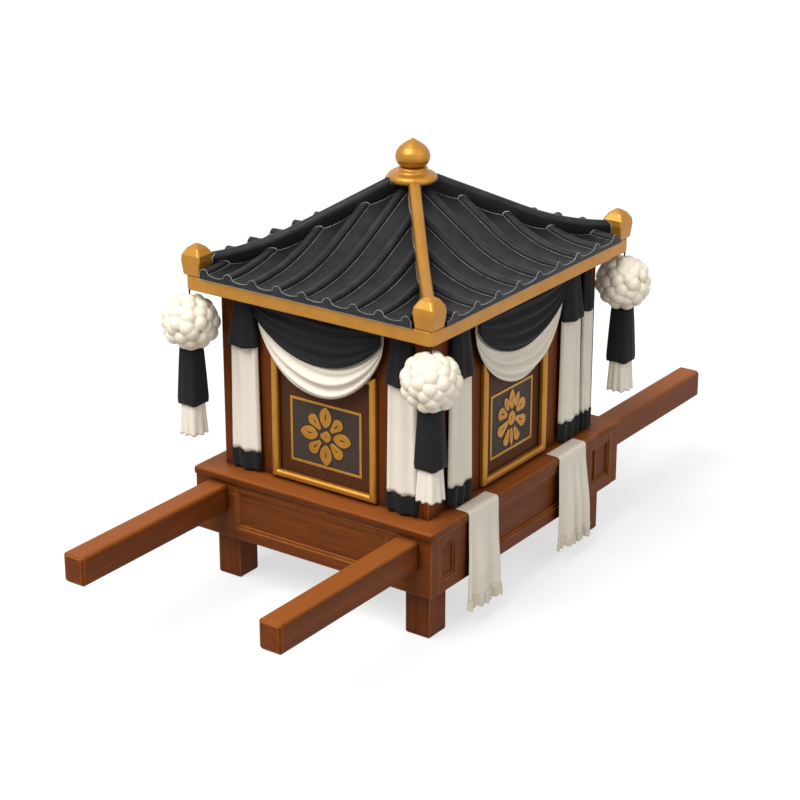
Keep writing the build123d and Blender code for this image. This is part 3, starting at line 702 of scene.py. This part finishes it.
class BIER_OT_tails(bpy.types.Operator):
    """Hang the tails: a black bell, a white pleated panel and a black hem"""
    bl_idname = "bier.tails"
    bl_label = "Tails"

    def execute(self, context):
        hangings = context.scene.bier_hangings
        finish = context.scene.bier_finish
        for name, colour, shape in (("tail_bell", "black", self.bell),
                                    ("tail_panel", "white", self.panel),
                                    ("tail_hem", "black", self.hem)):
            material = hung_cloth(colour, finish)
            node = f"{name}s"
            for i, (low, high) in enumerate(solids(node)):
                points = shape(i, Face(low, high))
                obj = sheet_mesh(f"{name}_{i + 1}", points, material, hangings.cloth)
                hang(obj, "bier", [node])
        return {"FINISHED"}

    def bell(self, i, face):
        """Points of half a cone of fluted cloth that flares to its rim."""
        neck, neck_depth, rim_depth = 0.62, 0.5, 0.42
        flutes, flute_shift, neck_flute, rim_flute, ripple = 6, 0.6, 0.03, 0.07, 0.02
        rim_drop, depth_share, roundness = 7 * MM, 0.9, 0.9
        s, t = cloth_grid(BELL_GRID)
        turn = s * np.pi / 2
        flare = neck + (1 - neck) * t ** 1.25
        deep = face.deep * (neck_depth + rim_depth * t ** 1.2)
        flute = 1 + ((neck_flute + rim_flute * t) * np.cos(flutes * turn + flute_shift * i)
                     * np.sqrt(np.cos(turn)))
        along = face.half * flare * np.sin(turn) * (1 + ripple * t * np.cos(flutes * turn))
        out = face.near + CLOTH_GAP + deep * np.cos(turn) ** roundness * flute * depth_share
        up = face.high + (face.low - face.high) * t - rim_drop * t * np.cos(turn)
        return face.points(along, out, up)

    def panel(self, i, face):
        """Points of the white panel, which widens downwards and starts inside the bell."""
        s, t = cloth_grid(TAIL_GRID)
        return self.strip(i, face, s, t, lap=14 * MM, wide=0.90 + 0.08 * t,
                          fullness=0.5 + 0.14 * t)

    def hem(self, i, face):
        """Points of the black hem, which laps over the foot of the panel."""
        s, t = cloth_grid(TAIL_GRID)
        return self.strip(i, face, s, t, lap=5 * MM, wide=1.0 - 0.05 * t ** 3,
                          fullness=0.70 - 0.06 * t)

    def strip(self, i, face, s, t, lap, wide, fullness):
        """Points of a pleated strip whose folds wander and whose foot lifts between them."""
        pleat_depth, fold_lift, corner_lift = 0.34, 5 * MM, 7 * MM
        sway, sway_rate, lean, lean_rate = 0.035, 4.1, 0.5, 2.2
        pleats = max(2, round(2 * face.half / bpy.context.scene.bier_hangings.pleat))
        wave = (np.pi * pleats * (s + sway * np.sin(sway_rate * s + i))
                + lean * np.sin(lean_rate * t + i))
        edge = 1 - np.abs(s) ** 10
        out = (face.near + CLOTH_GAP
               + face.deep * edge * (fullness + pleat_depth * 0.5 * np.cos(wave)))
        lift = (fold_lift * (0.5 - 0.5 * np.cos(wave)) * t ** 12
                + corner_lift * np.abs(s) ** 6 * t ** 6)
        top = face.high + lap
        up = top + (face.low - top) * t + lift
        return face.points(s * face.half * wide, out, up)


class BIER_OT_side_cloths(bpy.types.Operator):
    """Drape the white cloths over the long sides of the deck, with their pleated edges"""
    bl_idname = "bier.side_cloths"
    bl_label = "Side cloths"

    def execute(self, context):
        hangings = context.scene.bier_hangings
        finish = context.scene.bier_finish
        white, ecru = hung_cloth("white", finish), hung_cloth("edging", finish)
        for i, (low, high) in enumerate(solids("side_cloths")):
            points, edge_points = self.drape(i, low, high, hangings.fringe)
            cloth = sheet_mesh(f"side_cloth_{i + 1}", points, white, hangings.cloth)
            edging = sheet_mesh(f"side_cloth_edging_{i + 1}", edge_points, ecru, hangings.cloth)
            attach(edging, "bier")
            hang(cloth, "bier",
                 ["side_cloths"])
        return {"FINISHED"}

    def drape(self, i, low, high, fringe):
        """Points of a cloth that lies on the deck and hangs down its side, and of its edging."""
        bend, rise = 11 * MM, 2 * MM
        fold_depth, belly, fold_drop = 15 * MM, 3 * MM, 0.22
        folds, sway, sway_rate, sway_shift = 1.4, 0.25, 3, 0.8
        top_share, foot_share, widening_drop = 0.80, 0.96, 0.3
        _, rail_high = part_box("side_deck_rails")
        side = math.copysign(1, low[1] + high[1])
        start = min(abs(low[1]), abs(high[1]))
        middle = (low[0] + high[0]) / 2
        half = (high[0] - low[0]) / 2
        flat = rail_high[1] + rise - bend - start
        arc = bend * np.pi / 2
        fall = rail_high[2] + rise - bend - low[2] - fringe
        s, t = cloth_grid(SIDE_CLOTH_GRID)
        run = t * (flat + arc + fall)
        turn = np.clip((run - flat) / bend, 0, np.pi / 2)
        hung = np.clip(run - flat - arc, 0, None)
        wave = 0.5 - 0.5 * np.cos(2 * np.pi * (folds * s + sway * np.sin(sway_rate * s + i))
                                  + sway_shift * i)
        y = (start + np.clip(run, 0, flat) + bend * np.sin(turn)
             + (fold_depth * wave + belly * (1 - s ** 2)) * ease(hung, 0, fold_drop))
        z = rail_high[2] + rise - bend * (1 - np.cos(turn)) - hung
        wide = top_share + (foot_share - top_share) * ease(hung, 0, widening_drop)
        points = np.stack([middle + s * half * wide, side * y, z], axis=2)
        across = s[0]

        pleats, pleat_sway, pleat_rate = 7, 0.02, 5
        pleat_depth, pleat_rest, pleat_lift, open_by = 6 * MM, 0.3, 5 * MM, 0.4
        lap, tuck, slant = 6 * MM, 4 * MM, 14 * MM
        s, t = cloth_grid(EDGING_GRID)
        pleat = 0.5 + 0.5 * np.cos(np.pi * pleats * (s + pleat_sway * np.sin(pleat_rate * s + i)))
        out = (np.interp(s[0], across, y[-1]) + CLOTH_GAP
               + pleat_depth * (pleat - pleat_rest) * ease(t, 0.0, open_by))
        up = (z[-1, 0] + lap + slant * (0.5 + 0.5 * s) * t - (fringe + tuck) * t
              + pleat_lift * (1 - pleat) ** 2 * t ** 3)
        wide = foot_share + (1 - foot_share) * t
        edge_points = np.stack([middle + s * half * wide, side * out, up], axis=2)
        if side < 0:
            return points[:, ::-1], edge_points[:, ::-1]
        return points, edge_points


# Pendants

class BIER_OT_flower_balls(bpy.types.Operator):
    """Make the four balls of layered paper petals with their hanging loops"""
    bl_idname = "bier.flower_balls"
    bl_label = "Flower balls"

    def execute(self, context):
        hangings = context.scene.bier_hangings
        finish = context.scene.bier_finish
        paper, black = crepe_paper(finish), hung_cloth("black", finish)
        # The petals stand a little past the faceted solid, and the ball sinks towards the sleeve
        petal_reach, sink = 1.08, 0.96
        for seed, corner in enumerate(CORNERS):
            node = f"flower_ball_{corner}"
            low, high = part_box(node)
            radius = (high[0] - low[0]) / 2 * petal_reach
            centre = Vector(((low[0] + high[0]) / 2, (low[1] + high[1]) / 2,
                             low[2] + radius * sink))
            ball = petal_ball(f"petal_ball_{corner}", centre, radius, hangings, paper, seed)
            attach(ball, f"pendant_{corner}")
            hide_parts(node)
            loop = hanging_loop(f"hanging_loop_{corner}", centre, radius, high[2], black)
            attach(loop, f"pendant_{corner}")
            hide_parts(node)
        return {"FINISHED"}


def petal_ball(name, centre, radius, hangings, material, seed):
    """Ball of round petals: each is a dome that leans and laps over or under its neighbours."""
    core, dome_height, lean, most_growth = 0.70, 0.26, 0.10, 0.07
    golden_angle = math.pi * (3 - math.sqrt(5))
    chance = random.Random(seed)
    count = hangings.petals
    heads = []
    tilts = []
    for k in range(count):
        up = 1 - 2 * (k + 0.5) / count
        turn = k * golden_angle
        level = math.sqrt(1 - up * up)
        head = Vector((level * math.cos(turn), level * math.sin(turn), up))
        head += Vector([chance.uniform(-1, 1) * hangings.petal_wander for _ in range(3)])
        heads.append(head.normalized())
        tilts.append([chance.uniform(-1, 1) for _ in range(3)])
    heads = np.array(heads)
    tilts = np.array(tilts)
    growth = np.array([chance.uniform(0.0, most_growth) for _ in range(count)])
    form = bmesh.new()
    bmesh.ops.create_icosphere(form, subdivisions=BALL_DETAIL, radius=1.0)
    mesh = bpy.data.meshes.new(name)
    form.to_mesh(mesh)
    form.free()
    ways = np.array([v.co for v in mesh.vertices])
    leaning = ways @ tilts.T - np.einsum("ij,ij->i", heads, tilts)
    far = np.arccos(np.clip(ways @ heads.T, -1, 1)) / hangings.petal_swell
    dome = np.sqrt(np.clip(1 - far ** 2, 0, 1))
    heights = np.where(far < 1, core + growth + dome_height * dome + lean * leaning, core)
    upper = heights.argmax(axis=1)
    reach = radius * heights.max(axis=1)
    places = ways * reach[:, None] + np.array(centre)
    mesh.vertices.foreach_set("co", places.ravel())
    layer = mesh.uv_layers.new(name="petal")
    for loop in mesh.loops:
        offset = (ways[loop.vertex_index] - heads[upper[loop.vertex_index]]) * radius
        layer.data[loop.index].uv = (offset[0] + offset[2], offset[1] - offset[2])
    return add_object(name, mesh, material)


def hanging_loop(name, centre, radius, top, material):
    """Short twisted loop of cord from the ball to the eave."""
    thickness, gap = 2.6 * MM, 0.4 * MM
    strands, turns, strand_depth, foot_share = 2, 9, 0.15, 0.9
    foot = centre.z + radius * foot_share
    angle, t = ring_grid(LOOP_GRID)
    reach = thickness * (1 + strand_depth * np.cos(strands * angle + turns * t))
    z = top - gap + (foot - top) * t
    return sheet_mesh(name, ring_points(centre, reach, angle, z), material, closed=True)


class BIER_OT_tassels(bpy.types.Operator):
    """Hang the black sleeve and the white pleated skirt under each flower ball"""
    bl_idname = "bier.tassels"
    bl_label = "Tassels"

    def execute(self, context):
        hangings = context.scene.bier_hangings
        finish = context.scene.bier_finish
        for corner in CORNERS:
            for name, colour, shape, held, carrier in (
                    ("sleeve", "black", self.sleeve, "hung", "petal_ball"),
                    ("skirt", "white", self.skirt, "gathered", "sleeve")):
                node = f"tassel_{name}_{corner}"
                points = shape(*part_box(node), *self.axis(corner))
                obj = sheet_mesh(f"{name}_{corner}", points, hung_cloth(colour, finish),
                                 hangings.cloth, closed=True)
                hang(obj, f"pendant_{corner}",
                     [node])
        return {"FINISHED"}

    def axis(self, corner):
        """Place of the upright line that the sleeve and the skirt go round."""
        low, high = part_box(f"tassel_sleeve_{corner}")
        return (low[0] + high[0]) / 2, (low[1] + high[1]) / 2

    def sleeve(self, low, high, x, y):
        """Points of the squarish sleeve, which widens downwards and turns in at its rim."""
        lap, rim_wave, rim_from, turned_in = 6 * MM, 2 * MM, 0.93, 0.05
        top_share, growth, squareness = 0.74, 0.24, 3.2
        flutes, flute_depth, top_flute = 8, 0.03, 0.4
        angle, t = ring_grid(SLEEVE_GRID)
        flute = 1 + flute_depth * np.cos(flutes * angle) * (top_flute + (1 - top_flute) * t)
        reach = ((high[0] - low[0]) / 2 * (top_share + growth * t ** 0.8)
                 * rounded_square(angle, squareness) * flute
                 * (1 - turned_in * ease(t, rim_from, 1.0)))
        top = high[2] + lap
        z = top + (low[2] - top) * t + rim_wave * t ** 8 * np.cos(4 * angle)
        return ring_points((x, y), reach, angle, z)

    def skirt(self, low, high, x, y):
        """Points of the pleated skirt, which starts inside the sleeve."""
        lap, fold_lift = 12 * MM, 4 * MM
        top_share, growth, squareness = 0.80, 0.14, 3
        pleats, pleat_depth, top_pleat, sway, sway_rate = 9, 0.075, 0.3, 0.5, 3
        angle, t = ring_grid(SKIRT_GRID)
        pleat = np.cos(pleats * angle + sway * np.sin(sway_rate * angle))
        reach = ((high[0] - low[0]) / 2 * (top_share + growth * t)
                 * rounded_square(angle, squareness)
                 * (1 + pleat_depth * pleat * (top_pleat + (1 - top_pleat) * t)))
        top = high[2] + lap
        z = top + (low[2] - top) * t + fold_lift * (0.5 - 0.5 * pleat) * t ** 10
        return ring_points((x, y), reach, angle, z)


# Stage

class BIER_OT_stage(bpy.types.Operator):
    """Set the camera, floor and studio light"""
    bl_idname = "bier.stage"
    bl_label = "Stage"

    def execute(self, context):
        scene = context.scene
        stage = scene.bier_stage
        scene.view_settings.view_transform = "Standard"
        turn, lift = stage.azimuth, stage.elevation
        back = Vector((math.cos(turn) * math.cos(lift), math.sin(turn) * math.cos(lift),
                       math.sin(lift)))
        camera = bpy.data.objects.new("camera", bpy.data.cameras.new("camera"))
        camera.location = Vector(stage.aim) + back * stage.distance
        camera.rotation_euler = (-back).to_track_quat("-Z", "Y").to_euler()
        camera.data.lens = stage.lens
        scene.collection.objects.link(camera)
        scene.camera = camera
        self.floor(scene, stage)
        self.light(scene, "key", stage.key_from, stage.key_spread, stage.key)
        self.light(scene, "fill", stage.fill_from, stage.fill_spread, stage.fill)
        self.studio(scene, stage)
        return {"FINISHED"}

    def seen_rays(self, tree):
        """Mask of the rays that see the background: from the camera, a reflection or glass."""
        path = add(tree, "ShaderNodeLightPath").outputs
        seen = path["Is Camera Ray"]
        for ray in ("Is Glossy Ray", "Is Transmission Ray"):
            seen = calc(tree, "MAXIMUM", seen, path[ray])
        return seen

    def floor(self, scene, stage):
        """White floor that keeps the shadow and shows as the background."""
        half = stage.floor_half
        under_feet = 0.4 * MM
        mesh = bpy.data.meshes.new("floor")
        mesh.from_pydata([(-half, -half, 0), (half, -half, 0), (half, half, 0), (-half, half, 0)],
                         [], [(0, 1, 2, 3)])
        floor = bpy.data.objects.new("floor", mesh)
        floor.location.z = -under_feet
        scene.collection.objects.link(floor)
        material = bpy.data.materials.new("white_paper_floor")
        material.use_nodes = True
        tree = material.node_tree
        tree.nodes.clear()
        lift = calc(tree, "MULTIPLY", self.seen_rays(tree), stage.floor_glow)
        paper = add(tree, "ShaderNodeBsdfDiffuse", {"Color": stage.floor_paper})
        glow = add(tree, "ShaderNodeEmission", {"Color": (1, 1, 1, 1), "Strength": lift})
        both = add(tree, "ShaderNodeAddShader", {0: paper.outputs[0], 1: glow.outputs[0]})
        add(tree, "ShaderNodeOutputMaterial", {"Surface": both.outputs[0]})
        mesh.materials.append(material)

    def light(self, scene, name, place, spread, strength):
        """Broad even lamp that shines from a place towards the cabin."""
        lamp = bpy.data.lights.new(name, "SUN")
        lamp.angle = spread
        lamp.energy = strength
        obj = bpy.data.objects.new(name, lamp)
        obj.location = place
        lit = Vector((0, 0, scene.bier_stage.lit_height))
        obj.rotation_euler = (lit - Vector(place)).to_track_quat("-Z", "Y").to_euler()
        scene.collection.objects.link(obj)

    def studio(self, scene, stage):
        """Even studio light that the camera and reflections see as white."""
        world = bpy.data.worlds.new("studio")
        world.use_nodes = True
        tree = world.node_tree
        tree.nodes.clear()
        even = add(tree, "ShaderNodeBackground",
                   {"Color": stage.world_tint, "Strength": stage.world})
        white = add(tree, "ShaderNodeBackground", {"Color": (1, 1, 1, 1), "Strength": 1.0})
        mix = add(tree, "ShaderNodeMixShader",
                  {0: self.seen_rays(tree), 1: even.outputs[0], 2: white.outputs[0]})
        add(tree, "ShaderNodeOutputWorld", {"Surface": mix.outputs[0]})
        scene.world = world


class BIER_PT_sidebar(bpy.types.Panel):
    """Sidebar panel with the bier's operators and settings"""
    bl_label = "Funeral bier"
    bl_idname = "BIER_PT_sidebar"
    bl_space_type = "VIEW_3D"
    bl_region_type = "UI"
    bl_category = "Bier"

    def draw(self, context):
        layout = self.layout
        for operator in OPERATORS:
            layout.operator(operator.bl_idname)
        for name in GROUPS:
            group = getattr(context.scene, name)
            box = layout.box()
            for setting in group.__annotations__:
                box.prop(group, setting)


OPERATORS = (BIER_OT_stage, BIER_OT_timber, BIER_OT_gilding, BIER_OT_tiles, BIER_OT_panels,
             BIER_OT_swags, BIER_OT_tails, BIER_OT_side_cloths, BIER_OT_flower_balls,
             BIER_OT_tassels)
GROUPS = {"bier_finish": BierFinish, "bier_hangings": BierHangings, "bier_stage": BierStage}


def register():
    for cls in (*GROUPS.values(), *OPERATORS, BIER_PT_sidebar):
        bpy.utils.register_class(cls)
    for name, group in GROUPS.items():
        setattr(bpy.types.Scene, name, bpy.props.PointerProperty(type=group))


def unregister():
    for name in GROUPS:
        delattr(bpy.types.Scene, name)
    for cls in reversed((*GROUPS.values(), *OPERATORS, BIER_PT_sidebar)):
        bpy.utils.unregister_class(cls)


def main():
    """Register the add-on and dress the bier."""
    register()
    for operator in OPERATORS:
        group, name = operator.bl_idname.split(".")
        getattr(getattr(bpy.ops, group), name)()


if __name__ == "__main__":
    main()
